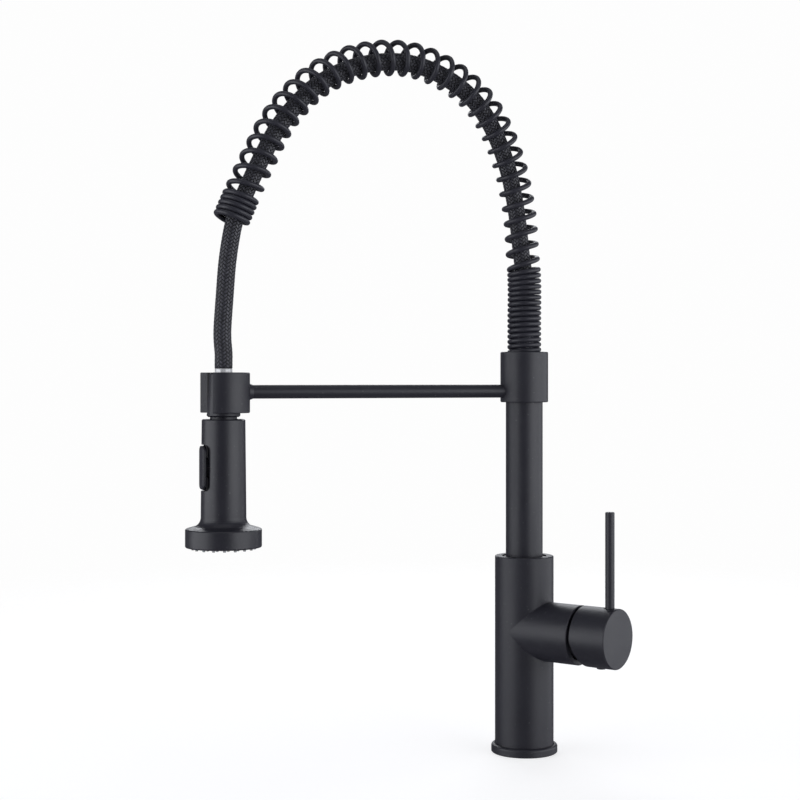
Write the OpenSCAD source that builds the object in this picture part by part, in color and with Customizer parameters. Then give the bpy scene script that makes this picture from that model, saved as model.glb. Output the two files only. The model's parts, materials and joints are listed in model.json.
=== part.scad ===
// Pull-down spring spout mixer tap for a sink deck.
// Millimetres. Origin at the centre of the deck face, +Z up, docking arm along -X.

/* [Base and body] */
// Diameter of the deck flange
flange_d = 50.6; // [50.4:0.2:56]
// Height of the deck flange
flange_h = 6.5; // [5.5:0.5:9]
// Diameter of the valve body, its side branch and the handle cap
body_d = 44.8; // [44.4:0.2:46]
// Height of the valve body above the deck
body_h = 150; // [148:1:170]
// Height of the valve axis above the deck
valve_z = 93.5; // [90:0.5:95]

/* [Lever] */
// Angle from the docking arm round to the valve branch, seen from above
branch_turn = 125; // [60:5:180]
// Distance from the column axis to the end of the branch
branch_reach = 50.2; // [50:0.2:51]
// Length of the handle cap
cap_l = 29.2; // [28:0.2:36]
// Diameter of the lever rod
lever_d = 6.9; // [6:0.1:8]
// Height of the lever rod above the handle cap
lever_h = 71; // [50:1:100]

/* [Riser, collar and arm] */
// Diameter of the riser tube
riser_d = 28.2; // [27.6:0.1:28.2]
// Diameter of the top collar
collar_d = 36.5; // [34:0.5:42]
// Height of the top collar's lower face above the deck
collar_z = 267.5; // [250:0.5:270]
// Height of the docking arm's axis above the deck
arm_z = 276; // [274:0.5:278]
// Diameter of the docking arm
arm_d = 10; // [7:0.1:10]
// Diameter of the docking clip
clip_d = 38; // [36:0.5:42]
// Height of the docking clip
clip_h = 29.2; // [28.8:0.2:29.4]

/* [Spring and hose] */
// Outer diameter of the spring at the riser
spring_d = 26; // [25.6:0.1:26.4]
// Thickness of the spring wire
wire_d = 3.8; // [3.4:0.1:3.8]
// Rise of one turn where the spring is wound close
close_pitch = 4.02; // [4.02:0.02:4.2]
// Length of the close winding above the riser
close_l = 70; // [50:1:90]
// Number of open turns over the bend
open_turns = 32; // [20:1:36]
// Number of close turns at the spring's free end
end_turns = 5; // [3:1:7]
// Length of the hose that the spring covers
spring_l = 461; // [440:0.5:461]
// Outer diameter of the braided hose
hose_d = 13; // [11:0.1:13]

/* [Spray head] */
// Diameter of the head's grip at its top
grip_top_d = 31.4; // [31:0.1:32]
// Diameter of the head's grip above the flare
grip_low_d = 32.8; // [32.2:0.1:34]
// Diameter of the spray face's rim
rim_d = 55.2; // [55:0.1:58]
// Height of the rocker button
button_h = 31.5; // [28:0.5:33]
// Width of the rocker button
button_w = 15; // [14:0.5:16]
// Number of nozzles in the outer ring
nozzles_outer = 18; // [12:1:20]

/* [Hidden] */
$fn = 72;

matte_black = [0.16, 0.16, 0.17];
brass = [0.75, 0.62, 0.32];
steel = [0.72, 0.72, 0.74];
rubber = [0.08, 0.08, 0.08];
white_plastic = [0.88, 0.88, 0.86];
grey_silicone = [0.62, 0.63, 0.65];
eps = 0.5;

body_r = body_d / 2;
branch_azimuth = 180 + branch_turn;
shell_bore_r = 19.6;
shell_z = 4;
supply_x = 8;
core_z = 66;
core_top = 136;
riser_bore_r = 17;
neck_z = core_top + 1;

// Distances along the valve axis, from the column axis outwards
seat_d = 10.5;
tilt_d = 34;
housing_end_d = 36;
nut_end_d = 43;
dome_r = 21;
cap_d0 = branch_reach + 2.4;
cap_d1 = cap_d0 + cap_l;
cap_floor_d = cap_d0 + 5;
lever_d0 = cap_d1 - 7;
cap_relief = 16;

// Column above the body
riser_r = riser_d / 2;
riser_top = 298;
collar_r = collar_d / 2;
collar_top = 306;
hose_r = hose_d / 2;

// The hose's own route, from the adapter on the riser up, over and down to the head
hose_route = [
    [0, 300], [0, 330], [0, 360], [-2.8, 384], [-5.4, 406], [-9.2, 428], [-14, 447],
    [-21.9, 467.5], [-33, 487], [-48.5, 502.9], [-70.1, 515.4], [-94, 521.7], [-118.9, 520.6],
    [-142.8, 513.5], [-163.7, 501.6], [-180.4, 485.7], [-194.2, 467.8], [-205, 447.9], [-213.1, 431],
    [-220.2, 415], [-225.3, 402], [-228.5, 388], [-231.4, 368], [-233.2, 345], [-234.7, 324],
    [-234.8, 314], [-234, 304], [-234, 298], [-234, 293]
];
head_x = hose_route[len(hose_route) - 1][0];
hose_end_z = hose_route[len(hose_route) - 1][1];
// How far the spring's centre lies outside the hose's, at distances along the hose
spring_lean = [[60, 0], [110, 2.1], [190, 2.1], [310, 2.7], [370, 2.7], [405, 1.5], [440, 1.7]];
// How much the coil's radius grows towards the free end, where the open turns are stretched least
coil_swell = 0.7;
// How far the open turns' two sides are pushed along the hose, one forwards and one back
turn_skew = 2.2;
wire_r = wire_d / 2;
coil_r = spring_d / 2 - wire_r;

// Docking clip and the cone that seats in it
clip_z = arm_z - 15.2;
clip_top = clip_z + clip_h;
clip_r = clip_d / 2;
clip_slot_half = 47;
clip_slot_turn = 7.5;
liner_r = 13.2;
arm_end = -head_x - liner_r - 1.5;
cone_low_r = 11.8;
cone_top_r = 10.2;
cone_top = 289.3;
cone_low = 260.4;
cone_bottom = 257.9;
cone_grooves = [273.1, 275.9];

// Spray head
grip_top = 256.3;
grip_low = 188;
rim_r = rim_d / 2;
rim_top = 177.4;
flare_r = 7;
flare_x = grip_low_d / 2 + flare_r;
flare_z = rim_top + 1.2 + flare_r;
rim_low = 164;
core_r = 13.6;
button_z = 221.5;
button_face = 16.8;
button_corner = 4;
button_pivot = 11.3;
button_side_gap = 3.4;
button_end_gap = 0.9;
spool_offset = 3;

// --- shapes used by several parts ---

module rod(r, z0, z1) {
    translate([0, 0, z0]) cylinder(r = r, h = z1 - z0);
}

module ring(r_out, r_in, z0, z1) {
    difference() {
        rod(r_out, z0, z1);
        rod(r_in, z0 - eps, z1 + eps);
    }
}

module o_ring(centre_r, section_r, z) {
    translate([0, 0, z]) rotate_extrude() translate([centre_r, 0]) circle(r = section_r, $fn = 24);
}

// A revolved cup or stepped shaft, from points given as [radius, height]
module turned(outline) {
    rotate_extrude() polygon(outline);
}

// Points along a circular arc, for rounding a revolved outline
function arc(cx, cz, r, a0, a1, steps = 6) =
    [for (i = [0 : steps]) let (a = a0 + (a1 - a0) * i / steps) [cx + r * cos(a), cz + r * sin(a)]];

// An upright rectangle with round corners, extruded along the part's -X from x0 outwards to x1
module pad(width, height, corner, x0, x1) {
    translate([-x1, 0, 0]) rotate([0, 90, 0]) linear_extrude(x1 - x0) union() {
        square([height - 2 * corner, width], center = true);
        square([height, width - 2 * corner], center = true);
        for (side = [-1, 1], end = [-1, 1])
            translate([end * (height / 2 - corner), side * (width / 2 - corner)]) circle(r = corner);
    }
}

// Local +Z runs out along the valve axis and local -X points up
module on_branch() {
    translate([0, 0, valve_z]) rotate([0, 0, branch_azimuth]) rotate([0, 90, 0]) children();
}

// Plan view turned so that +X lies under the branch
module under_branch() {
    rotate([0, 0, branch_azimuth]) children();
}

module at_head() {
    translate([head_x, 0, 0]) children();
}

// --- curves of the hose and the spring ---

function spline(a, b, c, d, t) =
    0.5 * (2 * b + (c - a) * t + (2 * a - 5 * b + 4 * c - d) * t * t + (3 * b - a - 3 * c + d) * t * t * t);

function sampled(points, steps) = let (n = len(points)) concat(
    [for (i = [0 : n - 2], k = [0 : steps - 1])
        spline(points[max(i - 1, 0)], points[i], points[i + 1], points[min(i + 2, n - 1)], k / steps)],
    [points[n - 1]]);

spline_steps = 6;
hose_line = sampled(hose_route, spline_steps);
hose_run = [for (i = 0, s = 0; i < len(hose_line);
    s = s + (i + 1 < len(hose_line) ? norm(hose_line[i + 1] - hose_line[i]) : 0), i = i + 1) s];
hose_length = hose_run[len(hose_run) - 1];
x_of_run = [for (i = [0 : len(hose_run) - 1]) [hose_run[i], hose_line[i][0]]];
z_of_run = [for (i = [0 : len(hose_run) - 1]) [hose_run[i], hose_line[i][1]]];

function hose_at(s) = [lookup(s, x_of_run), lookup(s, z_of_run)];
function unit(v) = v / norm(v);
function heading(s) = unit(hose_at(min(s + 2, hose_length)) - hose_at(max(s - 2, 0)));
function outward(s) = let (t = heading(s)) [t[1], -t[0]];
function eased(t) = let (u = min(max(t, 0), 1)) u * u * (3 - 2 * u);

// Distances along the hose where the spring's close winding ends and where its end turns start
spring_s1 = close_l;
spring_s2 = spring_l - end_turns * close_pitch;

// The spring's centre runs outside the hose's, which lies against the inside of the bend.
// The end turns stand in a straight line, which the hose bends away from.
function bent(s) = min(s, spring_s2);
function spring_centre(s) = let (b = bent(s))
    hose_at(b) + lookup(b, spring_lean) * outward(b) + (s - b) * heading(b);
function coil_at(s) = coil_r + coil_swell * eased((s - 190) / 120);

close_turns = close_l / close_pitch;
all_turns = close_turns + open_turns + end_turns;
turn_facets = 12;
wire_sides = 6;

function run_of_turn(t) =
    t < close_turns ? t * close_pitch :
    t < close_turns + open_turns ? spring_s1 + (t - close_turns) * (spring_s2 - spring_s1) / open_turns :
    spring_s2 + (t - close_turns - open_turns) * close_pitch;

// A ring of points round a tube's centre c, spanned by the unit vectors u and v
function section(c, u, v, r, sides) =
    [for (k = [0 : sides - 1]) let (a = 360 * (k + 0.5) / sides) c + r * (cos(a) * u + sin(a) * v)];

// The wire is wound right-handed about the hose
function wire_section(turn) =
    let (a = 360 * turn, flat = run_of_turn(turn))
    let (open = eased((flat - 80) / 70) * eased((spring_s2 - flat) / 30))
    let (s = flat + turn_skew * open * sin(a), b = bent(s))
    let (c = spring_centre(s), t = heading(b), n = outward(b))
    let (back = [-t[0], 0, -t[1]], out = cos(a) * [n[0], 0, n[1]] + sin(a) * [0, 1, 0])
    section([c[0], 0, c[1]] + coil_at(s) * out, out, back, wire_r, wire_sides);

function hose_section(s, sides) =
    let (c = hose_at(s), t = heading(s))
    section([c[0], 0, c[1]], [t[1], 0, -t[0]], [0, 1, 0], hose_r, sides);

// Closes a list of sections, all with the same number of points, into one solid
module swept(sections) {
    sides = len(sections[0]);
    last = len(sections) - 1;
    points = [for (s = sections, p = s) p];
    walls = [for (i = [0 : last - 1], k = [0 : sides - 1])
        let (a = i * sides + k, b = i * sides + (k + 1) % sides) [a, b, b + sides, a + sides]];
    first_cap = [for (k = [sides - 1 : -1 : 0]) k];
    last_cap = [for (k = [0 : sides - 1]) last * sides + k];
    polyhedron(points, concat(walls, [first_cap, last_cap]), convexity = 10);
}

// --- base and body ---

module base_flange() {
    r = flange_d / 2;
    color(matte_black) difference() {
        turned(concat(
            [[shell_bore_r, 0], [r - 0.6, 0], [r, 0.6]],
            arc(r - 2, flange_h - 2, 2, 0, 90),
            [[body_r + 0.5, flange_h], [body_r + 0.5, shell_z], [shell_bore_r, shell_z]]));
        ring(body_r + 1.8, body_r - 0.2, -eps, 1.6);
    }
}

module base_gasket() {
    color(rubber) ring(body_r + 1.7, body_r - 0.1, 0, 1.6);
}

module body_shell() {
    color(matte_black) difference() {
        union() {
            turned([
                [0, shell_z], [body_r, shell_z], [body_r, body_h - 0.5],
                [body_r - 0.5, body_h], [0, body_h]]);
            on_branch() turned([
                [0, 0], [body_r, 0], [body_r, branch_reach - 0.5],
                [body_r - 0.5, branch_reach], [0, branch_reach]]);
        }
        rod(shell_bore_r, shell_z - eps, core_top);
        rod(riser_bore_r, core_top - eps, body_h + eps);
        on_branch() rod(18.8, 0, branch_reach + eps);
        lock_screw_place() rod(2.1, -eps, 10);
    }
}

// The riser's lock screw enters the body from the back, opposite the docking arm
module lock_screw_place() {
    translate([body_r + eps, 0, neck_z + 6]) rotate([0, -90, 0]) children();
}

module supply_block() {
    color(brass) under_branch() difference() {
        rod(shell_bore_r - 0.1, 0, 28);
        for (side = [-1, 1]) translate([0, side * supply_x, 0]) {
            rod(4.5, -eps, 14);
            rod(3.2, 0, 28 + eps);
            rod(4.6, 24, 28 + eps);
        }
        translate([-12, 0, 0]) rod(3.4, -eps, 16);
    }
}

module supply_tube(side) {
    color([0.72, 0.45, 0.3]) under_branch() translate([0, side * supply_x, 0]) ring(4.5, 3.4, 24, core_z + 4);
}

module hot_tube() {
    supply_tube(-1);
}

module cold_tube() {
    supply_tube(1);
}

// Ports through the cartridge's base parts: two inlets low, one outlet high
module ports(r, z0, z1) {
    for (side = [-1, 1]) translate([5, side * 7, 0]) rod(r, z0, z1);
    translate([-7, 0, 0]) rod(r, z0, z1);
}

module valve_core() {
    color(brass) difference() {
        rod(shell_bore_r - 0.1, core_z, core_top);
        on_branch() {
            rod(17.6, seat_d, 30);
            ports(2.8, 0, seat_d + eps);
        }
        under_branch() for (side = [-1, 1]) translate([0, side * supply_x, 0]) {
            rod(2.8, core_z - eps, valve_z - 5);
            rod(4.6, core_z - eps, core_z + 4);
        }
        rod(4, valve_z + 7, core_top);
        rod(12.05, core_top - 22, core_top + eps);
    }
}

module cartridge_seal() {
    color(rubber) on_branch() difference() {
        rod(14, seat_d, seat_d + 1.5);
        ports(3.2, seat_d - eps, seat_d + 2);
    }
}

module cartridge_base() {
    color(white_plastic) on_branch() difference() {
        rod(17.4, seat_d + 1.5, 16);
        ports(2.6, seat_d, 16 + eps);
    }
}

module fixed_disc() {
    color([0.93, 0.9, 0.84]) on_branch() difference() {
        rod(14.8, 16, 19);
        ports(2.4, 16 - eps, 19 + eps);
    }
}

module cartridge_housing() {
    color(white_plastic) on_branch() difference() {
        rod(17.4, 16, housing_end_d);
        rod(15, 16 - eps, 33);
        rod(12.6, 33 - eps, housing_end_d + eps);
    }
}

module retaining_nut() {
    color(brass) on_branch() difference() {
        ring(18.7, 14.5, housing_end_d, nut_end_d);
        for (turn = [0 : 60 : 300]) rotate([0, 0, turn]) translate([0, 0, nut_end_d])
            cube([50, 4, 5], center = true);
    }
}

// Dome centred on the lever's tilt axis, so that the cap can rock over it
module dome_cover() {
    edge_a = acos(18.6 / dome_r);
    hole_a = acos(11 / dome_r);
    color(matte_black) on_branch() turned(concat(
        [[18.6, nut_end_d]],
        arc(0, tilt_d, dome_r, edge_a, hole_a),
        arc(0, tilt_d, dome_r - 1.5, hole_a, edge_a),
        [[17.2, nut_end_d]]));
}

module riser_bush() {
    color(matte_black) difference() {
        ring(riser_bore_r - 0.05, riser_r + 0.05, neck_z, body_h - 1);
        lock_screw_place() rod(2.1, 0, 12);
    }
}

module swivel_washer() {
    color(white_plastic) ring(16.6, 12.3, core_top, core_top + 0.7);
}

module riser_lock_screw() {
    color(steel) lock_screw_place() difference() {
        union() {
            rod(2, 1, 7.2);
            rod(1.4, 7.2 - eps, 9.3);
        }
        translate([0, 0, 1]) cylinder(d = 2.3, h = 3, center = true, $fn = 6);
    }
}

// --- cartridge lever and handle ---

// A rod across the branch on the lever's tilt axis
module tilt_axle(r, length) {
    translate([0, 0, tilt_d]) rotate([90, 0, 0]) cylinder(r = r, h = length, center = true);
}

module lever_carrier() {
    color(white_plastic) on_branch() difference() {
        union() {
            rod(14.4, 29.4, 32.7);
            rod(12.2, 32.7 - eps, 37.6);
        }
        translate([0, 0, 33]) cube([12.6, 6.6, 12], center = true);
        tilt_axle(1.25, 20);
    }
}

module stem_pin() {
    color(steel) on_branch() tilt_axle(1.23, 20);
}

module cartridge_stem() {
    color(steel) on_branch() difference() {
        union() {
            translate([-3.5, -3, 28]) cube([7, 6, cap_d0 + 17 - 28]);
            translate([-2.8, -2.8, 24]) cube([5.6, 5.6, 4 + eps]);
        }
        tilt_axle(1.28, 10);
    }
}

module handle_cap() {
    color(matte_black) on_branch() difference() {
        turned([
            [0, cap_d0], [body_r - 0.3, cap_d0], [body_r, cap_d0 + 0.3],
            [body_r, cap_d1 - 0.6], [body_r - 0.6, cap_d1], [0, cap_d1]]);
        rod(19.4, cap_d0 - eps, cap_floor_d);
        translate([0, 0, cap_d0]) rotate([0, -cap_relief, 0]) translate([0, -30, -30]) cube([60, 60, 30]);
        translate([-3.6, -3.1, cap_floor_d - eps]) cube([7.2, 6.2, 13]);
        lever_place() {
            rod(lever_d / 2, body_r - 12, body_r + eps);
            translate([0, 0, body_r - 1.2]) cylinder(r1 = lever_d / 2, r2 = lever_d / 2 + 1.4, h = 1.4);
        }
        set_screw_place() {
            rod(2.5, 0, body_r + eps);
            rod(3.55, 16, body_r + eps);
        }
    }
}

// Local +Z points up out of the cap, along the lever rod
module lever_place() {
    translate([0, 0, lever_d0]) rotate([0, -90, 0]) children();
}

// Local +Z points down out of the cap, along the set screw
module set_screw_place() {
    translate([0, 0, cap_d0 + 15]) rotate([0, 90, 0]) children();
}

module lever_rod() {
    r = lever_d / 2;
    top = body_r + lever_h;
    color(matte_black) on_branch() lever_place()
        turned([
            [0, body_r - 12], [r - 0.05, body_r - 12], [r - 0.05, body_r], [r, body_r + 0.1],
            [r, top - 0.4], [r - 0.4, top], [0, top]]);
}

module handle_set_screw() {
    color(steel) on_branch() set_screw_place() difference() {
        rod(2.45, 3.6, 12);
        translate([0, 0, 12]) cylinder(d = 2.9, h = 5, center = true, $fn = 6);
    }
}

module set_screw_plug() {
    color(matte_black) on_branch() set_screw_place()
        turned([[0, 17], [3.5, 17], [3.5, body_r + 0.4], [3, body_r + 0.8], [0, body_r + 0.8]]);
}

module moving_disc() {
    color([0.93, 0.9, 0.84]) on_branch() difference() {
        rod(10.5, 19.3, 22.3);
        translate([0, 0, 19]) rod(5, -eps, 1.6);
    }
}

module disc_driver() {
    color(white_plastic) on_branch() difference() {
        rod(10.5, 22.3, 26.6);
        translate([-4.4, -3.2, 23.4]) cube([8.8, 6.4, 5]);
    }
}

// --- riser, collar, arm and clip ---

module riser_tube() {
    color(matte_black) difference() {
        turned([
            [9, core_top - 21], [11.98, core_top - 21], [11.98, neck_z], [riser_r, neck_z],
            [riser_r, riser_top], [12, riser_top], [12, neck_z + 4], [9, neck_z + 2]]);
        for (z = [core_top - 16, core_top - 8]) ring(13, 10.4, z - 1.3, z + 1.3);
        ring(riser_r + eps, 13, neck_z + 4.2, neck_z + 7.8);
    }
}

module riser_seals() {
    color(rubber) for (z = [core_top - 16, core_top - 8]) o_ring(11.2, 0.8, z);
}

module top_collar() {
    color(matte_black) difference() {
        turned(concat(
            [[riser_r + 0.05, collar_z], [collar_r - 0.6, collar_z], [collar_r, collar_z + 0.6]],
            arc(collar_r - 0.8, collar_top - 0.8, 0.8, 0, 90, 4),
            [[spring_d / 2 + 0.4, collar_top], [spring_d / 2 + 0.4, riser_top],
            [riser_r + 0.05, riser_top]]));
        arm_place() rod(arm_d / 2 + 0.05, riser_r, collar_r + eps);
        collar_screw_place() {
            rod(2.1, 0, collar_r + eps);
            rod(2.8, collar_r - 0.8, collar_r + eps);
        }
    }
}

// Local +Z runs from the column axis out along the docking arm
module arm_place() {
    translate([0, 0, arm_z]) rotate([0, -90, 0]) children();
}

module collar_screw_place() {
    translate([0, 0, arm_z]) rotate([0, 90, 0]) children();
}

module collar_set_screw() {
    color(steel) collar_screw_place() difference() {
        rod(2.05, riser_r + 0.05, collar_r - 0.8);
        translate([0, 0, collar_r - 0.8]) cylinder(d = 2.3, h = 4, center = true, $fn = 6);
    }
}

module hose_adapter() {
    color(brass) difference() {
        union() {
            rod(11.95, 284, riser_top);
            translate([0, 0, riser_top]) cylinder(d = 16, h = hose_route[0][1] - riser_top, $fn = 6);
        }
        rod(4, 284 - eps, hose_route[0][1] + eps);
    }
}

module hose_upper_ferrule() {
    color(steel) ring(hose_r + 0.9, hose_r + 0.1, hose_route[0][1], hose_route[0][1] + 18);
}

module spring() {
    color(matte_black) swept([for (i = [0 : floor(all_turns * turn_facets)]) wire_section(i / turn_facets)]);
}

module hose() {
    spans = 32;
    color([0.2, 0.2, 0.21]) swept([for (i = [0 : spans]) hose_section(hose_length * i / spans, 10)]);
}

module dock_arm() {
    color(matte_black) arm_place() rod(arm_d / 2, riser_r + 0.6, arm_end);
}

module dock_clip() {
    color(matte_black) difference() {
        union() {
            at_head() turned([
                [liner_r, clip_z], [clip_r - 0.5, clip_z], [clip_r, clip_z + 0.5],
                [clip_r, clip_top - 0.5], [clip_r - 0.5, clip_top], [liner_r, clip_top]]);
            arm_place() translate([0, 0, -head_x - clip_r - 2.2])
                cylinder(r1 = arm_d / 2 + 0.2, r2 = arm_d / 2 + 1.4, h = 3);
        }
        clip_slot();
        arm_place() rod(arm_d / 2 + 0.05, 100, arm_end);
    }
}

// The wedge of the clip that is left open for the hose, facing away from the column
module clip_slot() {
    far = 2 * clip_r;
    side = far * tan(clip_slot_half);
    at_head() rotate([0, 0, clip_slot_turn]) translate([0, 0, clip_z - 1]) linear_extrude(clip_h + 2)
        polygon([[0, 0], [-far, side], [-far, -side]]);
}

module dock_liner() {
    color(rubber) difference() {
        at_head() turned([
            [cone_low_r + 0.45, clip_z + 0.2], [liner_r - 0.05, clip_z + 0.2],
            [liner_r - 0.05, clip_top - 0.2], [cone_top_r + 0.45, clip_top - 0.2]]);
        clip_slot();
    }
}

// --- hose end and spray head ---

module hose_ferrule() {
    color([0.9, 0.9, 0.92]) at_head() turned([
        [3.5, 279], [6.1, 279], [6.1, 288], [6.3, 288.4], [6.3, hose_end_z - 0.3],
        [6, hose_end_z], [3.5, hose_end_z]]);
}

module hose_tail() {
    color(brass) at_head() turned([
        [2.6, 266], [8.2, 266], [8.2, 269], [3.45, 269], [3.45, hose_end_z - 1], [2.6, hose_end_z - 1]]);
}

// The cone's outer radius at height z
function cone_r(z) =
    cone_low_r + (cone_top_r - cone_low_r) * (z - cone_low - 0.8) / (cone_top - cone_low - 1.4);

module dock_cone() {
    color(matte_black) at_head() turned(concat(
        [[9.5, cone_bottom], [11.1, cone_bottom], [12.1, cone_bottom + 1], [12.1, cone_low],
        [cone_low_r, cone_low], [cone_low_r, cone_low + 0.8]],
        [for (z = cone_grooves, step = [[-0.3, 0], [-0.25, 0.35], [0.25, 0.35], [0.3, 0]])
            [cone_r(z + step[0]) - step[1], z + step[0]]],
        [[cone_top_r, cone_top - 0.6], [cone_top_r - 0.6, cone_top],
        [6.7, cone_top], [6.7, 274], [3.8, 274], [3.8, 269.3], [9.5, 269.3]]));
}

module tail_washer() {
    color(rubber) at_head() ring(9.2, 4.4, 264.2, 265.7);
}

module head_core() {
    color(matte_black) at_head() difference() {
        union() {
            rod(core_r, 190, 252.5);
            rod(9.75, 252.5 - eps, cone_bottom);
            rod(9.4, cone_bottom - eps, 264.2);
        }
        rod(5, 244, 264.2 + eps);
        rod(6.4, 252, 262);
        translate([-spool_offset, 0, 0]) rod(4.05, 205, 246);
        rod(5.2, 190 - eps, 206);
        translate([-20 - 8.7, -5.6, button_z - 7]) cube([20, 11.2, 14]);
        translate([-9.2, -2.4, button_z - 2.6]) cube([6.5, 4.8, 5.2]);
        translate([-20 - 12.4, -9.6, button_z - 17.2]) cube([20, 19.2, 34.4]);
        button_axle(1, 16);
    }
}

module head_shell() {
    wall = 2;
    color(matte_black) at_head() difference() {
        turned(concat(
            [[9.9, grip_top], [9.9, grip_top - 2], [core_r + 0.1, grip_top - 2.5], [core_r + 0.1, grip_low]],
            arc(flare_x, flare_z, flare_r + wall, 180, 270, 8),
            [[26.2, 175.6], [26.2, rim_low + 0.6], [rim_r - 1.4, rim_low]],
            arc(rim_r - 1, rim_low + 1, 1, -90, 0, 3),
            [[rim_r, rim_top - 0.6], [rim_r - 0.6, rim_top]],
            arc(flare_x, flare_z, flare_r, 270, 180, 8),
            [[grip_low_d / 2, grip_low], [grip_top_d / 2, grip_top - 0.7],
            [grip_top_d / 2 - 0.7, grip_top]]));
        translate([0, 0, button_z])
            pad(button_w + 2 * button_side_gap, button_h + 2 * button_end_gap, button_corner, 8, 30);
    }
}

module spray_chamber() {
    color(white_plastic) at_head() difference() {
        turned(concat(
            [[0, 169.2], [25.6, 169.2], [25.6, 174.6]],
            arc(flare_x, flare_z, flare_r + 2.6, 270, 180, 8),
            [[13.4, 190], [0, 190]]));
        ring(24.4, 9.6, 169, 171.6);
        rod(5.2, 171, 190 + eps);
        rod(8.5, 169, 176);
    }
}

module nozzle_grid() {
    for (ring_at = [[22.4, nozzles_outer, 0], [17.2, 14, 12], [12.2, 10, 0]])
        for (i = [0 : ring_at[1] - 1]) rotate([0, 0, ring_at[2] + 360 * i / ring_at[1]])
            translate([ring_at[0], 0, 0]) children();
}

module nozzle_mat() {
    color(grey_silicone) at_head() {
        difference() {
            rod(25.4, 167.6, 169.2);
            rod(8.5, 167, 170);
        }
        nozzle_grid() translate([0, 0, 162.4]) cylinder(r1 = 1.1, r2 = 1.8, h = 5.4);
    }
}

module nozzle_plate() {
    color(matte_black) at_head() difference() {
        ring(26, 8.5, rim_low + 0.6, 167.6);
        nozzle_grid() rod(1.95, rim_low, 168);
    }
}

module aerator_housing() {
    color(matte_black) at_head()
        turned([[5.6, 176], [8.4, 176], [8.4, 163.4], [7.9, 162.9], [6.6, 162.9], [6.6, 174], [5.6, 174]]);
}

module aerator_mesh() {
    color(steel) at_head() difference() {
        rod(6.5, 164, 165);
        for (x = [-4.5 : 1.5 : 4.5], y = [-4.5 : 1.5 : 4.5])
            if (norm([x, y]) < 5.5) translate([x - 0.5, y - 0.5, 163]) cube([1, 1, 3]);
    }
}

module check_valve() {
    color([0.2, 0.35, 0.6]) at_head() ring(6.3, 3.2, 252.4, 261.6);
}

// A rod across the head on the rocker button's axis
module button_axle(r, length) {
    translate([-button_pivot, 0, button_z]) rotate([90, 0, 0])
        cylinder(r = r, h = length, center = true);
}

module button_pin() {
    color(steel) at_head() button_axle(0.95, 15.6);
}

module spray_button() {
    color(matte_black) at_head() difference() {
        translate([0, 0, button_z]) {
            pad(button_w, button_h, button_corner, 13.9, button_face - 0.6);
            pad(button_w - 1.2, button_h - 1.2, button_corner - 0.6, 13.9, button_face);
            translate([-16, -5, -6]) cube([6.4, 10, 12]);
            translate([-10, -2, -1]) cube([5.1, 4, 2]);
        }
        button_axle(1, 20);
    }
}

module diverter_spool() {
    color(white_plastic) at_head() translate([-spool_offset, 0, 0])
        turned([
            [0, 209], [3.6, 209], [3.6, button_z - 1.4], [1.5, button_z - 1.4],
            [1.5, button_z + 1.4], [3.6, button_z + 1.4], [3.6, 236], [0, 236]]);
}

module spool_seals() {
    color(rubber) at_head() translate([-spool_offset, 0, 0])
        for (z = [212, 232]) ring(3.98, 3.6, z - 0.8, z + 0.8);
}

base_flange();
base_gasket();
body_shell();
supply_block();
hot_tube();
cold_tube();
valve_core();
cartridge_seal();
cartridge_base();
fixed_disc();
cartridge_housing();
retaining_nut();
dome_cover();
riser_bush();
swivel_washer();
riser_lock_screw();
lever_carrier();
stem_pin();
cartridge_stem();
handle_cap();
lever_rod();
handle_set_screw();
set_screw_plug();
moving_disc();
disc_driver();
riser_tube();
riser_seals();
top_collar();
collar_set_screw();
hose_adapter();
hose_upper_ferrule();
spring();
hose();
dock_arm();
dock_clip();
dock_liner();
hose_ferrule();
hose_tail();
dock_cone();
tail_washer();
head_core();
head_shell();
spray_chamber();
nozzle_mat();
nozzle_plate();
aerator_housing();
aerator_mesh();
check_valve();
button_pin();
spray_button();
diverter_spool();
spool_seals();
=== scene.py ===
import json
import math

import bpy
import numpy as np
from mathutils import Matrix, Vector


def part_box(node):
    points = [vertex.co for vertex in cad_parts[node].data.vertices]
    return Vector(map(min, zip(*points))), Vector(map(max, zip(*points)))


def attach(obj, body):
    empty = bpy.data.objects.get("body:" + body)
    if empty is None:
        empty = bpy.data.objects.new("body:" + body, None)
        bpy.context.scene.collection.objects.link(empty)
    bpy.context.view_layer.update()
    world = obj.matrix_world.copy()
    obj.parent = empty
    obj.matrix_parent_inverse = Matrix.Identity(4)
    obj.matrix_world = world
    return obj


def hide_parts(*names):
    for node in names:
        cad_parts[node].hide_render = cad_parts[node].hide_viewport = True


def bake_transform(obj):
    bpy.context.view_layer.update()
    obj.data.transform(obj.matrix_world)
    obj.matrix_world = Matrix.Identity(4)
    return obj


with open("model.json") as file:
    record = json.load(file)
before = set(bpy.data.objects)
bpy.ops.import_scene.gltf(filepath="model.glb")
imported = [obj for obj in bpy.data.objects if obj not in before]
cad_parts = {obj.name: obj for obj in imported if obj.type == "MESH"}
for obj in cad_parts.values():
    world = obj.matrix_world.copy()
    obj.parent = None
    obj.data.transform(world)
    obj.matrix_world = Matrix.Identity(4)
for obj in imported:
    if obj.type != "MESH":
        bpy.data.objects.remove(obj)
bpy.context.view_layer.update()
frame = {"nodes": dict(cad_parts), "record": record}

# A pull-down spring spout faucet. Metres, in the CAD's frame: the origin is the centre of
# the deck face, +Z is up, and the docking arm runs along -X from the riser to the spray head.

rng = np.random.default_rng(7)


# ---------------------------------------------------------------- camera

# The photo's view is level, and turned 18 degrees from square on to the arm
VIEW_TURN = math.radians(18)
CAMERA_PLACE = (-0.4674, -1.1302, 0.2860)
SENSOR_MM = 36
LENS_MM = 71.55
FRAME_SHIFT = -0.0275

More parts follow.
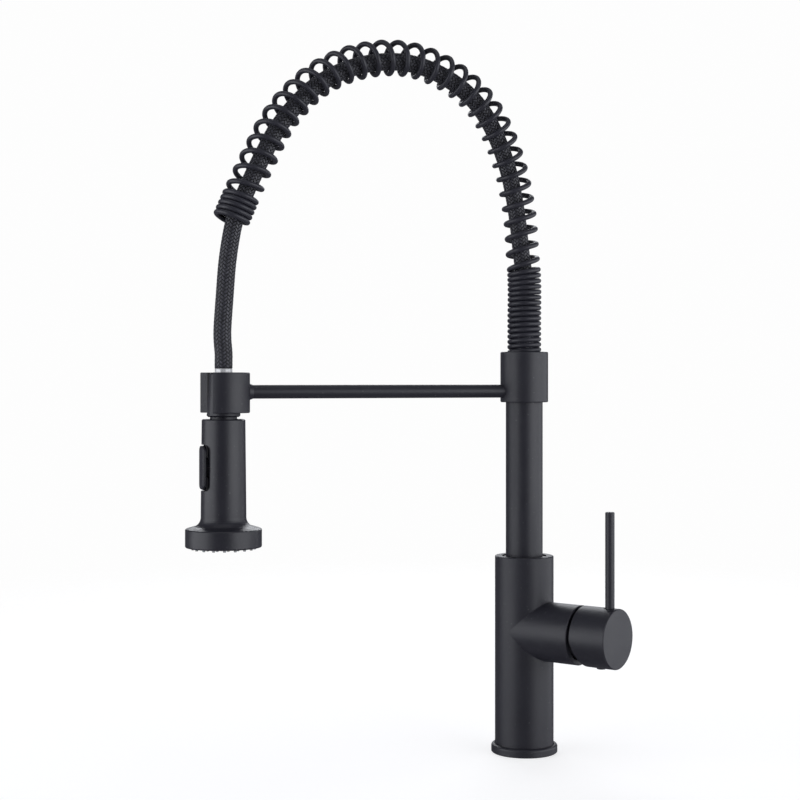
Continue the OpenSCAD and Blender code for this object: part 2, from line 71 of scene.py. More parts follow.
camera = bpy.data.objects.new("camera", bpy.data.cameras.new("camera"))
bpy.context.scene.collection.objects.link(camera)
camera.location = CAMERA_PLACE
camera.rotation_euler = (math.radians(90), 0, -VIEW_TURN)
camera.data.sensor_width = SENSOR_MM
camera.data.lens = LENS_MM
camera.data.shift_y = FRAME_SHIFT
bpy.context.scene.camera = camera


# ---------------------------------------------------------------- mesh helpers

def new_piece(name, vertices, faces, uvs=None, smooth=True):
    """A mesh object. uvs has one (u, v) for each vertex."""
    mesh = bpy.data.meshes.new(name)
    mesh.from_pydata([tuple(p) for p in vertices], [], [tuple(f) for f in faces])
    if uvs is not None:
        layer = mesh.uv_layers.new(name="UVMap")
        corner = np.zeros(len(mesh.loops), np.int32)
        mesh.loops.foreach_get("vertex_index", corner)
        layer.data.foreach_set("uv", np.asarray(uvs, np.float32)[corner].ravel())
    mesh.polygons.foreach_set("use_smooth", [smooth] * len(mesh.polygons))
    mesh.validate()
    mesh.update()
    piece = bpy.data.objects.new(name, mesh)
    bpy.context.scene.collection.objects.link(piece)
    return piece


def unit(vectors):
    """The vectors, each made 1 long."""
    return vectors / np.linalg.norm(vectors, axis=-1, keepdims=True)


def circle(radius, sides):
    """Points (a, b) on a circle."""
    turn = np.arange(sides) * 2 * math.pi / sides
    return radius * np.column_stack([np.cos(turn), np.sin(turn)])


def walls(rings, sides, closed=False):
    """Quads between rings of points, one ring after another. closed joins the last ring to the first."""
    i, k = np.meshgrid(np.arange(rings if closed else rings - 1), np.arange(sides), indexing="ij")
    j, m = (i + 1) % rings, (k + 1) % sides
    quads = np.stack([i * sides + k, i * sides + m, j * sides + m, j * sides + k], axis=-1)
    return [tuple(quad) for quad in quads.reshape(-1, 4)]


def swept(centres, across, up, profile, scale=None):
    """Vertices, faces and uvs of a solid whose profile (a, b) lies along across and up at each centre.
    across x up points along the sweep. v is the length run, and u goes once round the profile."""
    n, sides = len(centres), len(profile)
    scale = np.ones(n) if scale is None else scale
    flat = profile[None, :, :] * scale[:, None, None]
    rings = centres[:, None, :] + flat[..., :1] * across[:, None, :] + flat[..., 1:] * up[:, None, :]
    run = np.concatenate([[0], np.cumsum(np.linalg.norm(np.diff(centres, axis=0), axis=1))])
    caps = [tuple(range(sides))[::-1], tuple((n - 1) * sides + k for k in range(sides))]
    uvs = np.stack(np.broadcast_arrays((np.arange(sides) / sides)[None, :], run[:, None]), axis=-1)
    return rings.reshape(-1, 3), walls(n, sides) + caps, uvs.reshape(-1, 2)


def lathed(outline, sides, centre=(0, 0)):
    """Vertices, faces and uvs of a solid turned about a vertical axis at centre (x, y).
    The outline is its cross-section, a closed loop of (radius, height) anticlockwise."""
    outline = np.array(outline, float)
    turn = np.arange(sides) * 2 * math.pi / sides
    x = centre[0] + outline[:, :1] * np.cos(turn)
    y = centre[1] + outline[:, :1] * np.sin(turn)
    z = np.broadcast_to(outline[:, 1:], x.shape)
    points = np.stack([x, y, z], axis=-1).reshape(-1, 3)
    rows = len(outline)
    uvs = np.stack(np.broadcast_arrays(turn[None, :], np.arange(rows)[:, None]), axis=-1)
    return points, walls(rows, sides, closed=True), uvs.reshape(-1, 2)


def joined(parts):
    """Vertices, faces and uvs of several solids as one, and each vertex's part number."""
    points, faces, uvs, owner = [], [], [], []
    first = 0
    for number, (p, f, uv) in enumerate(parts):
        points.append(p)
        faces.extend(tuple(i + first for i in face) for face in f)
        uvs.append(uv)
        owner.append(np.full(len(p), number))
        first += len(p)
    return np.vstack(points), faces, np.vstack(uvs), np.concatenate(owner)


# ---------------------------------------------------------------- hose and spring

# The hose's own route, (x, z), from the adapter on the riser to the head's ferrule
HOSE_ROUTE = [
    (0, 0.300), (0, 0.330), (0, 0.360), (-0.0028, 0.384), (-0.0054, 0.406), (-0.0092, 0.428),
    (-0.014, 0.447), (-0.0219, 0.4675), (-0.033, 0.487), (-0.0485, 0.5029), (-0.0701, 0.5154),
    (-0.094, 0.5217), (-0.1189, 0.5206), (-0.1428, 0.5135), (-0.1637, 0.5016), (-0.1804, 0.4857),
    (-0.1942, 0.4678), (-0.205, 0.4479), (-0.2131, 0.431), (-0.2202, 0.415), (-0.2253, 0.402),
    (-0.2285, 0.388), (-0.2314, 0.368), (-0.2332, 0.345), (-0.2347, 0.324), (-0.2348, 0.314),
    (-0.234, 0.304), (-0.234, 0.298), (-0.234, 0.293),
]
ROUTE_STEPS = 12
HEADING_STEP = 0.002

HOSE_D = 0.013

SPRING_D = 0.026
WIRE_D = 0.0039
WIRE_SIDES = 18
WIRE_END_SCALE = 0.8
STEPS_A_TURN = 40
SPRING_LENGTH = 0.461
# Close wound on the riser, open over the arch, and close wound again at the free end
CLOSE_PITCH = 0.00402
CLOSE_LENGTH = 0.070
CLOSE_TURNS = CLOSE_LENGTH / CLOSE_PITCH
OPEN_TURNS = 32
END_TURNS = 5
ALL_TURNS = CLOSE_TURNS + OPEN_TURNS + END_TURNS
END_START = SPRING_LENGTH - END_TURNS * CLOSE_PITCH
# How far the spring's centre lies outside the hose's, at distances along the hose
SPRING_LEAN = [
    (0.060, 0), (0.110, 0.0023), (0.190, 0.0023), (0.310, 0.0030), (0.370, 0.0030),
    (0.405, 0.0018), (0.440, 0.0019),
]
# How much the coil's radius grows towards the free end, and over which stretch of the hose
COIL_SWELL = 0.0007
SWELL_START = 0.190
SWELL_LENGTH = 0.120
# How far the open turns' two sides are pushed along the hose, one forwards and one back,
# with the stretches over which that comes in and goes out again
TURN_SKEW = 0.0022
SKEW_START = 0.080
SKEW_IN = 0.070
SKEW_OUT = 0.030


def smooth_line(points, steps):
    """A smooth line through the points, with as many steps between each two."""
    p = np.array([points[0], *points, points[-1]], float)
    t = np.linspace(0, 1, steps, endpoint=False)[:, None]
    spans = [
        0.5 * (2 * b + (c - a) * t + (2 * a - 5 * b + 4 * c - d) * t**2
               + (3 * b - a - 3 * c + d) * t**3)
        for a, b, c, d in zip(p, p[1:], p[2:], p[3:])
    ]
    return np.vstack([*spans, p[-1:]])


hose_line = smooth_line(HOSE_ROUTE, ROUTE_STEPS)
hose_run = np.concatenate([[0], np.cumsum(np.linalg.norm(np.diff(hose_line, axis=0), axis=1))])
route_length = hose_run[-1]


def hose_at(s):
    """The hose's centre at run s, as (x, 0, z)."""
    x, z = (np.interp(s, hose_run, hose_line[:, i]) for i in (0, 1))
    return np.stack([x, np.zeros_like(x), z], axis=-1)


def heading(s):
    """The hose's direction at run s."""
    ahead = hose_at(np.minimum(s + HEADING_STEP, route_length))
    return unit(ahead - hose_at(np.maximum(s - HEADING_STEP, 0)))


def outward(s):
    """Across the hose, away from the inside of its bend."""
    t = heading(s)
    return np.stack([t[:, 2], t[:, 1], -t[:, 0]], axis=-1)


def eased(t):
    """A smooth rise from 0 to 1 as t goes from 0 to 1."""
    t = np.clip(t, 0, 1)
    return t * t * (3 - 2 * t)


def spring_run(turn):
    """How far along the hose the spring is after so many turns."""
    marks = [0, CLOSE_TURNS, CLOSE_TURNS + OPEN_TURNS, ALL_TURNS]
    return np.interp(turn, marks, [0, CLOSE_LENGTH, END_START, SPRING_LENGTH])


def make_spring():
    """Round wire wound right-handed, its end turns standing straight and both ends cut square."""
    turn = np.arange(0, ALL_TURNS, 1 / STEPS_A_TURN)
    angle = 2 * math.pi * turn
    level = spring_run(turn)
    skewed = eased((level - SKEW_START) / SKEW_IN) * eased((END_START - level) / SKEW_OUT)
    s = level + TURN_SKEW * skewed * np.sin(angle)
    bent = np.minimum(s, END_START)
    lean = np.interp(bent, *zip(*SPRING_LEAN))[:, None] * outward(bent)
    axis = hose_at(bent) + lean + (s - bent)[:, None] * heading(bent)
    out = np.cos(angle)[:, None] * outward(bent) + np.sin(angle)[:, None] * np.array([[0, 1, 0]])
    coil_r = (SPRING_D - WIRE_D) / 2 + COIL_SWELL * eased((s - SWELL_START) / SWELL_LENGTH)
    centres = axis + coil_r[:, None] * out
    along = unit(np.gradient(centres, axis=0))
    across = unit(out - (out * along).sum(1, keepdims=True) * along)
    scale = np.ones(len(centres))
    scale[[0, -1]] = WIRE_END_SCALE
    wire = swept(centres, across, np.cross(along, across), circle(WIRE_D / 2, WIRE_SIDES), scale)
    return new_piece("spring_wire", *wire)


# The braid's strands each way round, the length of one strand's turn, and a strand's width and thickness
BRAID_STRANDS = 16
BRAID_PITCH = 0.044
STRAND_W = 0.00158
STRAND_T = 0.00046
# How far a strand rises and dips as it crosses the others, and how sharply it goes from one to the other
BRAID_WAVE = 0.00020
BRAID_HOLD = 1.5
BRAID_STEP = 0.00075
SLEEVE_RINGS = 180
SLEEVE_SIDES = 28
SLEEVE_GAP = 0.0001


def make_hose():
    """A dark inner sleeve, coloured with the braid's painted shade, under 16 flat strands each way, each
    passing over two and under two.
    """
    s = np.linspace(0, route_length, SLEEVE_RINGS)
    side = np.broadcast_to([[0.0, 1.0, 0.0]], (len(s), 3))
    middle_r = HOSE_D / 2 - STRAND_T / 2 - BRAID_WAVE
    sleeve = swept(hose_at(s), outward(s), -side, circle(middle_r - SLEEVE_GAP, SLEEVE_SIDES))
    half = STRAND_W / 2
    # A strand's section: flat underneath, with three low ridges of yarn on top
    profile = np.array([
        (-half, 0), (-half * 0.7, -STRAND_T / 2), (half * 0.7, -STRAND_T / 2), (half, 0),
        (half * 0.62, STRAND_T / 2), (half * 0.3, STRAND_T * 0.36), (0, STRAND_T / 2),
        (-half * 0.3, STRAND_T * 0.36), (-half * 0.62, STRAND_T / 2),
    ])
    s = np.arange(0, route_length, BRAID_STEP)
    n, y_axis = outward(s), np.array([[0, 1, 0]])
    crossing = 2 * BRAID_STRANDS * s / BRAID_PITCH
    # The sleeve's lift is 0, so its colour is the braid's painted shade, as where strands dip under others.
    strands, lifts = [], [np.zeros(len(sleeve[0]))]
    for way in (1, -1):
        for k in range(BRAID_STRANDS):
            angle = way * 2 * math.pi * (s / BRAID_PITCH) + 2 * math.pi * k / BRAID_STRANDS
            phase = math.pi / 2 * (crossing + way * 2 * k) - way * math.pi / 4
            over = np.clip(BRAID_HOLD * np.cos(phase), -1, 1)
            out = np.cos(angle)[:, None] * n + np.sin(angle)[:, None] * y_axis
            centres = hose_at(s) + (middle_r + way * over * BRAID_WAVE)[:, None] * out
            along = unit(np.gradient(centres, axis=0))
            strands.append(swept(centres, np.cross(out, along), out, profile[::-1] * (-1, 1)))
            lifts.append(np.repeat((1 + way * over) / 2, len(profile)))
    points, faces, uvs, owner = joined([sleeve, *strands])
    hose = new_piece("hose_braided", points, faces, uvs)
    shade = np.concatenate([[0], rng.uniform(0.1, 1, 2 * BRAID_STRANDS)])
    for name, values in (("strand_shade", shade[owner]), ("strand_lift", np.concatenate(lifts))):
        hose.data.attributes.new(name, "FLOAT", "POINT").data.foreach_set("value", values)
    return hose


hose = make_hose()
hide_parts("hose")

spring = make_spring()
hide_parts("spring")


# ---------------------------------------------------------------- ferrule and spray head

HEAD_X = HOSE_ROUTE[-1][0]
TO_HEAD = (HEAD_X, 0, 0)

FERRULE_INNER_R = 0.0035
FERRULE_OUTER_R = 0.0063
FERRULE_SIDES = 120
FLUTES = 10
FLUTE_DEPTH = 0.00028


def make_ferrule():
    """A metal sleeve with round edges, a slightly wider band at its top, and upright crimped flutes."""
    low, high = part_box("hose_ferrule")
    bottom, top = low[2], high[2]
    inner_r, outer_r = FERRULE_INNER_R, FERRULE_OUTER_R
    points, faces, uvs = lathed([
        (inner_r, bottom), (outer_r - 0.0004, bottom), (outer_r - 0.0001, bottom + 0.0003),
        (outer_r - 0.0001, top - 0.0046), (outer_r, top - 0.0042), (outer_r, top - 0.0007),
        (outer_r - 0.0002, top - 0.0002), (outer_r - 0.0006, top), (inner_r, top),
    ], FERRULE_SIDES)
    turn = np.arctan2(points[:, 1], points[:, 0])
    crimp = FLUTE_DEPTH * np.maximum(0, np.cos(FLUTES * turn)) ** 3
    points[:, :2] *= (1 - crimp / np.hypot(points[:, 0], points[:, 1]))[:, None]
    return new_piece("ferrule_crimped", points + TO_HEAD, faces, uvs)


BUTTON_W = 0.015
BUTTON_H = 0.0315
BUTTON_CORNER = 0.004
BUTTON_FILLET = 0.0011
BUTTON_CROWN = 0.00025
# Half the width of the flat left in the middle of the crowned face
BUTTON_FLAT = 0.0004
FILLET_STEPS = 7
# The back of the button's pad, and the axle it rocks on
BUTTON_BACK_X = HEAD_X - 0.0139
BUTTON_AXLE_X = HEAD_X - 0.0113
CORNER_STEPS = 8
SMALLEST_CORNER = 0.0003
BLOCK_BEVEL = 0.0003


def rounded_rectangle(width, height, corner):
    """Points (y, z) round an upright rectangle with round corners, about its middle."""
    points = []
    for y, z, start in ((1, 1, 0), (-1, 1, 90), (-1, -1, 180), (1, -1, 270)):
        for a in np.radians(start + np.linspace(0, 90, CORNER_STEPS)):
            points.append((y * (width / 2 - corner) + corner * math.cos(a),
                           z * (height / 2 - corner) + corner * math.sin(a)))
    return np.array(points)


def block(low, high):
    """Vertices, faces and uvs of an upright block, bevelled round its top and bottom."""
    low, high = np.array(low), np.array(high)
    middle, half = (low + high) / 2, (high - low) / 2
    outline = np.array([(-1, -1), (1, -1), (1, 1), (-1, 1)])
    edge = BLOCK_BEVEL / half[2]
    rings = []
    for z, inset in ((-1, BLOCK_BEVEL), (-1 + edge, 0), (1 - edge, 0), (1, BLOCK_BEVEL)):
        flat = middle[:2] + outline * (half[:2] - inset)
        rings.append(np.column_stack([flat, np.full(4, middle[2] + z * half[2])]))
    points = np.vstack(rings)
    faces = [(3, 2, 1, 0), (12, 13, 14, 15)] + walls(len(rings), 4)
    return points, faces, np.zeros((len(points), 2))


def make_button():
    """The rocker: a pad with filleted edges and a slightly crowned face, and its hinge block and tongue."""
    low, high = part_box("spray_button")
    face_x, middle_z = low[0], (low[2] + high[2]) / 2
    edge_x = face_x + BUTTON_CROWN
    crown_reach = BUTTON_W / 2 - BUTTON_FILLET - BUTTON_FLAT
    rows = [(BUTTON_BACK_X, 0.0)]
    for a in np.radians(np.linspace(0, 90, FILLET_STEPS)):
        rows.append((edge_x + BUTTON_FILLET * (1 - math.sin(a)), BUTTON_FILLET * (1 - math.cos(a))))
    for t in (0.25, 0.5, 0.75, 1):
        rows.append((edge_x - t * BUTTON_CROWN, BUTTON_FILLET + t * crown_reach))
    rings = []
    for x, inset in rows:
        corner = max(BUTTON_CORNER - inset, SMALLEST_CORNER)
        flat = rounded_rectangle(BUTTON_W - 2 * inset, BUTTON_H - 2 * inset, corner)
        rings.append(np.column_stack([np.full(len(flat), x), flat]))
    pad = np.vstack(rings) + (0, 0, middle_z)
    sides = len(rings[0])
    faces = [(b, a, d, c) for a, b, c, d in walls(len(rings), sides)]
    faces += [tuple(range(sides)), tuple(range(len(pad) - sides, len(pad)))[::-1]]
    hinge = block((BUTTON_AXLE_X - 0.0047, -0.005, middle_z - 0.006),
                  (BUTTON_AXLE_X + 0.0017, 0.005, middle_z + 0.006))
    tongue = block((BUTTON_AXLE_X + 0.0013, -0.002, middle_z - 0.001),
                   (BUTTON_AXLE_X + 0.0064, 0.002, middle_z + 0.001))
    points, faces, uvs, _ = joined([(pad, faces, np.zeros((len(pad), 2))), hinge, tongue])
    return new_piece("button_rocker", points, faces, uvs)


# Each ring's radius, its number of nozzles, and the first one's place in degrees
NOZZLE_RINGS = [(0.0224, 18, 0), (0.0172, 14, 12), (0.0122, 10, 0)]
NOZZLE_SIDES = 20
MAT_INNER_R = 0.0085
MAT_OUTER_R = 0.0254
MAT_T = 0.0016
MAT_EDGE = 0.0002
MAT_SIDES = 96


def make_nozzles():
    """The silicone mat: a flat ring, and soft tapered nozzles with round lips and small bores."""
    low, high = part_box("nozzle_mat")
    tip, top = low[2], high[2]
    under = top - MAT_T
    mat = lathed([
        (MAT_INNER_R, under), (MAT_OUTER_R - MAT_EDGE, under), (MAT_OUTER_R, under + MAT_EDGE),
        (MAT_OUTER_R, top - MAT_EDGE), (MAT_OUTER_R - MAT_EDGE, top), (MAT_INNER_R, top),
    ], MAT_SIDES)
    # A nozzle's section: down its bore, round its lip, and up its tapered outside
    nozzle = [
        (0.00042, under + 0.0001), (0.00042, tip + 0.0005), (0.00055, tip + 0.0001), (0.00072, tip),
        (0.00092, tip + 0.00008), (0.00106, tip + 0.0003), (0.00112, tip + 0.0008),
        (0.00132, tip + 0.0024), (0.00160, tip + 0.0042), (0.00180, tip + 0.0051),
        (0.00180, under + 0.0001),
    ]
    parts = [mat]
    for radius, count, first in NOZZLE_RINGS:
        for turn in np.radians(first + 360 * np.arange(count) / count):
            place = (radius * math.cos(turn), radius * math.sin(turn))
            parts.append(lathed(nozzle, NOZZLE_SIDES, place))
    points, faces, uvs, _ = joined(parts)
    return new_piece("nozzles_soft", points + TO_HEAD, faces, uvs)


SCREEN_WIRE_R = 0.00012
SCREEN_SPACING = 0.0008
SCREEN_WAVE = 0.00013
SCREEN_WIRES = 15
RIM_HALF_W = 0.0003
RIM_HALF_H = 0.0004


def make_screen():
    """The aerator's screen: fine wires woven over and under each other inside a pressed rim."""
    low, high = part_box("aerator_mesh")
    middle_z, reach_r = (low[2] + high[2]) / 2, (high[0] - low[0]) / 2 - RIM_HALF_W
    rim = (reach_r, middle_z) + circle(1, 10) * (RIM_HALF_W, RIM_HALF_H)
    parts = [lathed(rim, 72)]
    for way in (0, 1):
        for j in np.arange(SCREEN_WIRES) - SCREEN_WIRES // 2:
            reach = math.sqrt(reach_r**2 - (j * SCREEN_SPACING) ** 2)
            along = np.linspace(-reach, reach, 60)
            height = middle_z + SCREEN_WAVE * np.cos(math.pi * (along / SCREEN_SPACING + j + way))
            across = np.full_like(along, j * SCREEN_SPACING)
            line = np.column_stack([along, across, height] if way else [across, along, height])
            side = np.broadcast_to([[0.0, 1.0, 0.0]] if way else [[1.0, 0.0, 0.0]], line.shape)
            up = np.cross(unit(np.gradient(line, axis=0)), side)
            parts.append(swept(line, side, up, circle(SCREEN_WIRE_R, 6)))
    points, faces, uvs, _ = joined(parts)
    return new_piece("aerator_screen", points + TO_HEAD, faces, uvs)


ferrule = make_ferrule()
button = make_button()
nozzles = make_nozzles()
screen = make_screen()
# Each piece, the CAD node it stands for, the body it rides on, and its material slot
REPLACED = [
    (ferrule, "hose_ferrule", "hose_end", "ferrule_chrome"),
    (button, "spray_button", "button", "head_black"),
    (nozzles, "nozzle_mat", "spray_head", "nozzle_grey"),
    (screen, "aerator_mesh", "spray_head", "steel"),
]
for piece, node, body, slot in REPLACED:
    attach(piece, body)
    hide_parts(node)


# ---------------------------------------------------------------- materials

def add(tree, kind, inputs=None, **settings):
    """A shader node. An input is a plain value, or another node's output socket."""
    node = tree.nodes.new(kind)
    for name, value in settings.items():
        setattr(node, name, value)
    for name, value in (inputs or {}).items():
        if isinstance(value, bpy.types.NodeSocket):
            tree.links.new(value, node.inputs[name])
        else:
            node.inputs[name].default_value = value
    return node


def material(name, **values):
    """A new material and its Principled shader, with plain values set on the shader's own sockets."""
    made = bpy.data.materials.new(name)
    made.use_nodes = True
    shader = made.node_tree.nodes["Principled BSDF"]
    for key, value in values.items():
        shader.inputs[key.replace("_", " ")].default_value = value
    return made, made.node_tree, shader


def object_coords(tree):
    return add(tree, "ShaderNodeTexCoord").outputs["Object"]


def noise(tree, coords, scale, detail=2.0, roughness=0.5):
    """Noise from 0 to 1. The scale is in cells per metre."""
    return add(tree, "ShaderNodeTexNoise", {
        "Vector": coords, "Scale": scale, "Detail": detail, "Roughness": roughness}).outputs["Fac"]


def ranged(tree, value, low, high, from_low=0.3, from_high=0.7):
    """The value, taken from between from_low and from_high to between low and high."""
    return add(tree, "ShaderNodeMapRange", {
        "Value": value, "From Min": from_low, "From Max": from_high, "To Min": low, "To Max": high,
    }).outputs["Result"]


def scaled(tree, value, factor):
    """The value times the factor."""
    return add(tree, "ShaderNodeMath", {0: value, 1: factor}, operation="MULTIPLY").outputs[0]


def mixed(tree, factor, a, b):
    """A colour between a and b. The node's sockets share their names, so they are picked by number."""
    node = add(tree, "ShaderNodeMix", data_type="RGBA")
    for socket, value in ((node.inputs[0], factor), (node.inputs[6], a), (node.inputs[7], b)):
        if isinstance(value, bpy.types.NodeSocket):
            tree.links.new(value, socket)
        else:
            socket.default_value = value
    return node.outputs[2]


def bumped(tree, shader, height, distance, normal=None):
    """Raises the surface by distance, in metres, where height is 1. normal is an earlier bump's."""
    inputs = {"Height": height, "Distance": distance, "Strength": 1.0}
    if normal is not None:
        inputs["Normal"] = normal
    out = add(tree, "ShaderNodeBump", inputs).outputs["Normal"]
    tree.links.new(out, shader.inputs["Normal"])
    return out


def grey(value, tint=1.0):
    """A grey, bluer as its tint goes above 1."""
    return (value, value, value * tint, 1)


def darker(colour, factor):
    """The colour times the factor, and as opaque as before."""
    return tuple(c * factor for c in colour[:3]) + (1,)


# How blue the black coats are, and how blue their grain's paler tops and the braid are
COAT_TINT = 1.45
GRAIN_TINT = 1.4


def coating(name, value, roughness, grain, grain_depth):
    """A fine-textured matte black coat: pebbled grain, faint cloudiness, and rare pale specks of dust."""
    made, tree, shader = material(name, IOR=1.5)
    place = object_coords(tree)
    cloud = noise(tree, place, scale=38, detail=3)
    pebble = noise(tree, place, scale=grain, roughness=0.6)
    fine = noise(tree, place, scale=grain * 3.1, detail=1)
    low, high = grey(value * 0.86, COAT_TINT), grey(value * 1.14, COAT_TINT)
    cloudy = mixed(tree, ranged(tree, cloud, 0, 1), low, high)
    grain_tops = ranged(tree, pebble, 0, 0.35, from_low=0.42, from_high=0.75)
    grained = mixed(tree, grain_tops, cloudy, grey(value * 1.7, GRAIN_TINT))
    dust = ranged(tree, noise(tree, place, scale=900, detail=0), 0, 0.5, from_low=0.80, from_high=0.86)
    tree.links.new(mixed(tree, dust, grained, grey(0.12)), shader.inputs["Base Color"])
    rough = add(tree, "ShaderNodeMath", {
        0: ranged(tree, cloud, -0.035, 0.035),
        1: ranged(tree, pebble, roughness - 0.03, roughness + 0.05),
    }, operation="ADD").outputs[0]
    tree.links.new(rough, shader.inputs["Roughness"])
    first = bumped(tree, shader, pebble, grain_depth)
    bumped(tree, shader, fine, grain_depth * 0.35, normal=first)
    return made


# In cells per metre up the vertical axis
TURNING_MARKS = 2600.0


def turned_metal(name, colour, roughness):
    """Machined metal with fine turning marks round the vertical axis, and a little tarnish."""
    made, tree, shader = material(name, Metallic=1.0)
    place = object_coords(tree)
    height = add(tree, "ShaderNodeSeparateXYZ", {"Vector": place}).outputs["Z"]
    lines = add(tree, "ShaderNodeTexNoise", {
        "W": scaled(tree, height, TURNING_MARKS), "Scale": 1.0, "Detail": 2.0,
    }, noise_dimensions="1D").outputs["Fac"]
    tarnish = ranged(tree, noise(tree, place, scale=160, detail=4), 0, 0.7)
    tree.links.new(mixed(tree, tarnish, colour, darker(colour, 0.72)), shader.inputs["Base Color"])
    tree.links.new(ranged(tree, lines, roughness * 0.75, roughness * 1.35), shader.inputs["Roughness"])
    bumped(tree, shader, lines, 0.000012)
    return made


def moulded(name, colour, roughness, depth=0.00002, **values):
    """Plastic, rubber or ceramic: even colour with slight flow marks and a fine eroded surface."""
    made, tree, shader = material(name, **values)
    place = object_coords(tree)
    flow = ranged(tree, noise(tree, place, scale=60, detail=3), 0, 1)
    fine = noise(tree, place, scale=2600, roughness=0.6)
    tree.links.new(mixed(tree, flow, darker(colour, 0.88), colour), shader.inputs["Base Color"])
    tree.links.new(ranged(tree, fine, roughness - 0.05, roughness + 0.07), shader.inputs["Roughness"])
    bumped(tree, shader, fine, depth)
    return made


def braid():
    """Black nylon yarn: filaments along each strand, glossier where it passes over the others, and painted
    shade, near black, where it dips under them.
    """
    made, tree, shader = material("hose_braid", IOR=1.5, Sheen_Weight=0.08, Sheen_Roughness=0.4)
    uv = add(tree, "ShaderNodeUVMap").outputs["UV"]
    parts = add(tree, "ShaderNodeSeparateXYZ", {"Vector": uv})
    shade = add(tree, "ShaderNodeAttribute", attribute_name="strand_shade").outputs["Fac"]
    lift = add(tree, "ShaderNodeAttribute", attribute_name="strand_lift").outputs["Fac"]
    # Noise that is fine across a strand, long along it, and different on each strand
    stretched = add(tree, "ShaderNodeCombineXYZ", {
        "X": scaled(tree, parts.outputs["X"], 26.0),
        "Y": scaled(tree, parts.outputs["Y"], 220.0),
        "Z": scaled(tree, shade, 91.0),
    }).outputs[0]
    filament = noise(tree, stretched, scale=1.0, roughness=0.6)
    strand = mixed(tree, shade, grey(0.008, GRAIN_TINT), grey(0.022, GRAIN_TINT))
    filament_tops = ranged(tree, filament, 0, 0.8, from_low=0.4, from_high=0.75)
    yarn = mixed(tree, filament_tops, strand, grey(0.14, 1.2))
    # Painted shade: where a strand dips under the others, and on the inner sleeve, the yarn's colour goes to
    # near black.
    painted_dip_shade_mix = ranged(tree, lift, 0, 1, from_low=0.5, from_high=1)
    tree.links.new(mixed(tree, painted_dip_shade_mix, grey(0.002, GRAIN_TINT), yarn), shader.inputs["Base Color"])
    tree.links.new(ranged(tree, lift, 0.9, 0.36, from_low=0.3, from_high=1), shader.inputs["Roughness"])
    bumped(tree, shader, filament, 0.00008)
    return made


def polished():
    """The bright plated ferrule: fine scratches round it, and a faint haze."""
    made, tree, shader = material("ferrule_chrome", Metallic=0.4, Base_Color=grey(0.72))
    place = object_coords(tree)
    haze = noise(tree, place, scale=300, detail=4)
    squeezed = add(tree, "ShaderNodeVectorMath", {
        0: place, 1: (300, 300, 9000),
    }, operation="MULTIPLY").outputs[0]
    scratch = noise(tree, squeezed, scale=1.0)
    tree.links.new(ranged(tree, haze, 0.34, 0.46), shader.inputs["Roughness"])
    bumped(tree, shader, scratch, 0.000008)
    return made


looks = {
    "body_black": coating("body_black", 0.0145, roughness=0.42, grain=2600, grain_depth=0.00005),
    "spring_black": coating("spring_black", 0.018, roughness=0.41, grain=2600, grain_depth=0.00004),
    "head_black": coating("head_black", 0.0135, roughness=0.37, grain=3200, grain_depth=0.00004),
    "hose_braid": braid(),
    "rubber_black": moulded("rubber_black", grey(0.010), roughness=0.75, depth=0.00003),
    "brass": turned_metal("brass", (0.72, 0.50, 0.21, 1), roughness=0.30),
    "copper": turned_metal("copper", (0.80, 0.38, 0.22, 1), roughness=0.34),
    "steel": turned_metal("steel", (0.56, 0.56, 0.57, 1), roughness=0.28),
    "ferrule_chrome": polished(),
    "white_plastic": moulded("white_plastic", grey(0.72, 0.97), roughness=0.42),
    "valve_blue": moulded("valve_blue", (0.06, 0.16, 0.42, 1), roughness=0.4),
    "ceramic": moulded("ceramic", (0.82, 0.78, 0.68, 1), roughness=0.22, depth=0.000006),
    "nozzle_grey": moulded("nozzle_grey", grey(0.34, 1.03), roughness=0.55,
                           Subsurface_Weight=0.15, Subsurface_Scale=0.0006),
}


def dress(piece, slot):
    """Gives a piece its slot's material in place of any it has."""
    piece.data.materials.clear()
    piece.data.materials.append(looks[slot])


for row in frame["record"]["subparts"]:
    dress(frame["nodes"][row["node"]], row["material_slot"])
dress(hose, "hose_braid")
dress(spring, "spring_black")
for piece, _, _, slot in REPLACED:
    dress(piece, slot)


# ---------------------------------------------------------------- hose and spring, baked in place

for piece in (hose, spring):
    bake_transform(piece)


# ---------------------------------------------------------------- floor and light

FLOOR_R = 2.5
FLOOR_SIDES = 96
# How far from the faucet the floor starts to fade, and where it is gone
FADE_START = 0.35
FADE_END = 1.4


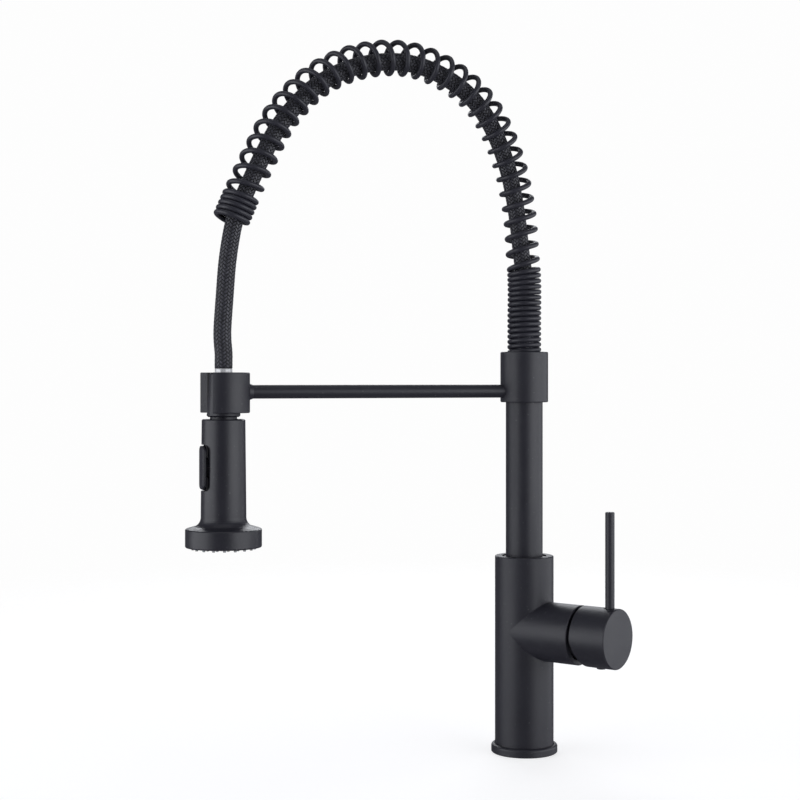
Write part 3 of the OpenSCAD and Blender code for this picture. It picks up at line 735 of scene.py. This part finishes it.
def make_floor():
    """A pale disc on the deck plane that fades into the background around the faucet."""
    rim = np.column_stack([circle(FLOOR_R, FLOOR_SIDES), np.zeros(FLOOR_SIDES)])
    floor = new_piece("floor", rim, [tuple(range(FLOOR_SIDES))], smooth=False)
    made, tree, shader = material(
        "floor_pale", Base_Color=grey(0.55), Roughness=0.9, Emission_Color=grey(1.0), Emission_Strength=0.66)
    far = add(tree, "ShaderNodeVectorMath", {0: object_coords(tree)}, operation="LENGTH").outputs["Value"]
    fade = add(tree, "ShaderNodeMapRange", {
        "Value": far, "From Min": FADE_START, "From Max": FADE_END,
    }, interpolation_type="SMOOTHERSTEP").outputs["Result"]
    clear = add(tree, "ShaderNodeBsdfTransparent").outputs[0]
    faded = add(tree, "ShaderNodeMixShader", {0: fade, 1: shader.outputs[0], 2: clear}).outputs[0]
    tree.links.new(faded, tree.nodes["Material Output"].inputs["Surface"])
    floor.data.materials.append(made)
    floor.visible_glossy = False


def make_world():
    """A pale background in a dim studio, so that the softboxes alone shape the highlights."""
    world = bpy.data.worlds.new("studio")
    world.use_nodes = True
    bpy.context.scene.world = world
    tree = world.node_tree
    tree.nodes.clear()
    studio = add(tree, "ShaderNodeBackground", {"Color": grey(0.13, 1.15)}).outputs[0]
    pale = add(tree, "ShaderNodeBackground", {"Color": grey(0.985)}).outputs[0]
    seen = add(tree, "ShaderNodeLightPath").outputs["Is Camera Ray"]
    both = add(tree, "ShaderNodeMixShader", {0: seen, 1: studio, 2: pale}).outputs[0]
    add(tree, "ShaderNodeOutputWorld", {"Surface": both})


# The point that the lights face, and their colour
MIDDLE = np.array([-0.1, 0, 0.27])
COOL = (0.94, 0.96, 1.0)


def softbox(name, turn, reach, size, power, height=0.35):
    """A soft light facing MIDDLE. turn is its angle from +X in degrees, and reach how far out it stands."""
    light = bpy.data.lights.new(name, "AREA")
    light.shape = "RECTANGLE"
    light.size, light.size_y = size
    light.energy = power
    light.color = COOL
    lamp = bpy.data.objects.new(name, light)
    bpy.context.scene.collection.objects.link(lamp)
    turn = math.radians(turn)
    away = np.array([reach * math.cos(turn), reach * math.sin(turn), height - MIDDLE[2]])
    lamp.location = MIDDLE + away
    lamp.rotation_euler = (math.acos(away[2] / np.linalg.norm(away)), 0, math.atan2(away[0], -away[1]))
    lamp.visible_camera = False


make_floor()
make_world()
softbox("light_left", 182, reach=1.6, size=(2.0, 1.4), power=18)
softbox("light_front_right", 309, reach=1.9, size=(1.95, 1.5), power=22)
softbox("light_right", 358, reach=1.9, size=(1.6, 1.5), power=10)
softbox("light_top", 240, reach=0.1, size=(1.6, 1.6), power=5, height=1.9)
softbox("light_back", 72, reach=1.6, size=(1.4, 0.7), power=10, height=0.95)

bpy.context.scene.view_settings.view_transform = "Standard"
